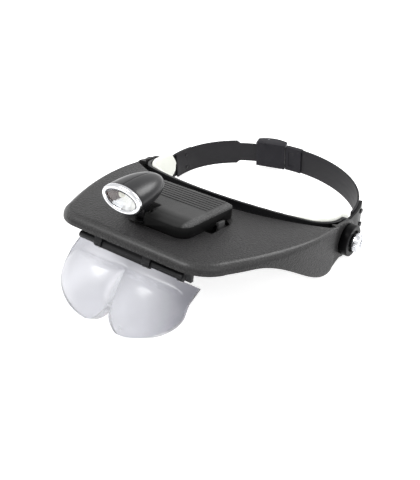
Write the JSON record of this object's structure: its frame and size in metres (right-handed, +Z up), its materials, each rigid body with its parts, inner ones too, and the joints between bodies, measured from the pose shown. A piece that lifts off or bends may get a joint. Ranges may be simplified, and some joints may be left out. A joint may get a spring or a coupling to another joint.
{
  "type": "binocular head magnifier",
  "caption": "Head-worn magnifier: a tilting hood on an adjustable headband, with a hinged clear lens plate and a swivelling lamp on a battery case.",
  "frame": {"origin": "midway between the two side pivots, on their axis", "axes": "+Z up from the table that it lies on, -Y towards the front edge and the lenses, +X along the pivot axis to the wearer's left"},
  "size_m": [0.2056, 0.2592, 0.08],
  "materials": {
    "hood": "fine grained",
    "black_plastic": "satin",
    "strap": "satin",
    "gloss_black": "semi-gloss",
    "grey_plastic": "satin",
    "pad": "soft",
    "clear_lens": "polished",
    "lamp_clear": "polished",
    "chrome": "polished",
    "reflector": "metallised",
    "steel": "satin",
    "cell": "gloss",
    "led": "polished",
    "board": "satin"
  },
  "bodies": {
    "headband": {"headband_frame": "black_plastic", "forehead_pad": "pad", "strap_left": "strap", "strap_right": "strap", "strap_rivets": "black_plastic", "buckle_housing": "black_plastic", "strap_clip": "black_plastic", "buckle_pin": "steel", "pivot_screw_left": "steel", "pivot_screw_right": "steel", "spacer_washers": "black_plastic", "pressure_disc_left": "black_plastic", "pressure_disc_right": "black_plastic"},
    "lever": {"buckle_lever": "black_plastic"},
    "knob_left": {"thumb_knob_left": "chrome"},
    "knob_right": {"thumb_knob_right": "chrome"},
    "hood": {"hood_shell": "hood", "lens_clips": "black_plastic", "battery_case": "hood", "battery_cells": "cell", "battery_springs": "steel", "battery_contacts": "steel", "circuit_board": "board"},
    "lens": {"lens_holder": "gloss_black", "lens_plate": "clear_lens"},
    "lid": {"battery_lid": "hood"},
    "latch": {"module_latch": "grey_plastic"},
    "switch": {"switch_slider": "grey_plastic"},
    "turret": {"lamp_turret": "black_plastic", "tilt_pin": "steel"},
    "lamp": {"lamp_shell_left": "gloss_black", "lamp_shell_right": "gloss_black", "lamp_bezel": "chrome", "lamp_reflector": "reflector", "led_bulbs": "led", "led_board": "board", "lamp_lens": "lamp_clear"}
  },
  "joints": [
    {"name": "hood_tilt", "type": "hinge", "parent": "headband", "child": "hood", "pos_m": [0, 0, 0], "axis": [-1, 0, 0], "range_deg": [-15, 75]},
    {"name": "knob_turn_left", "type": "hinge", "parent": "headband", "child": "knob_left", "pos_m": [-0.1, 0, 0], "axis": [-1, 0, 0], "range_deg": [0, 360]},
    {"name": "knob_turn_right", "type": "hinge", "parent": "headband", "child": "knob_right", "pos_m": [0.1, 0, 0], "axis": [1, 0, 0], "range_deg": [0, 360]},
    {"name": "buckle_lever_turn", "type": "hinge", "parent": "headband", "child": "lever", "pos_m": [-0.02968, 0.08858, 0.00101], "axis": [0, -0.0419, 0.9991], "range_deg": [0, 75]},
    {"name": "lens_flip", "type": "hinge", "parent": "hood", "child": "lens", "pos_m": [0, -0.13135, 0.02553], "axis": [-1, 0, 0], "range_deg": [0, 75]},
    {"name": "lid_slide", "type": "slide", "parent": "hood", "child": "lid", "axis": [0, 0.9836, -0.1805], "range_m": [0, 0.04]},
    {"name": "latch_press", "type": "slide", "parent": "hood", "child": "latch", "axis": [-1, 0, 0], "range_m": [0, 0.0015], "stiffness_N_per_m": 200, "springref_m": -0.001},
    {"name": "switch_slide", "type": "slide", "parent": "hood", "child": "switch", "axis": [0, 0.9836, -0.1805], "range_m": [0, 0.003]},
    {"name": "lamp_swivel", "type": "hinge", "parent": "hood", "child": "turret", "pos_m": [-0.009, -0.10629, 0.03578], "axis": [0, 0.1805, 0.9836], "range_deg": [-30, 12]},
    {"name": "lamp_tilt", "type": "hinge", "parent": "turret", "child": "lamp", "pos_m": [-0.009, -0.10576, 0.03863], "axis": [1, 0, 0], "range_deg": [-8, 12]}
  ]
}
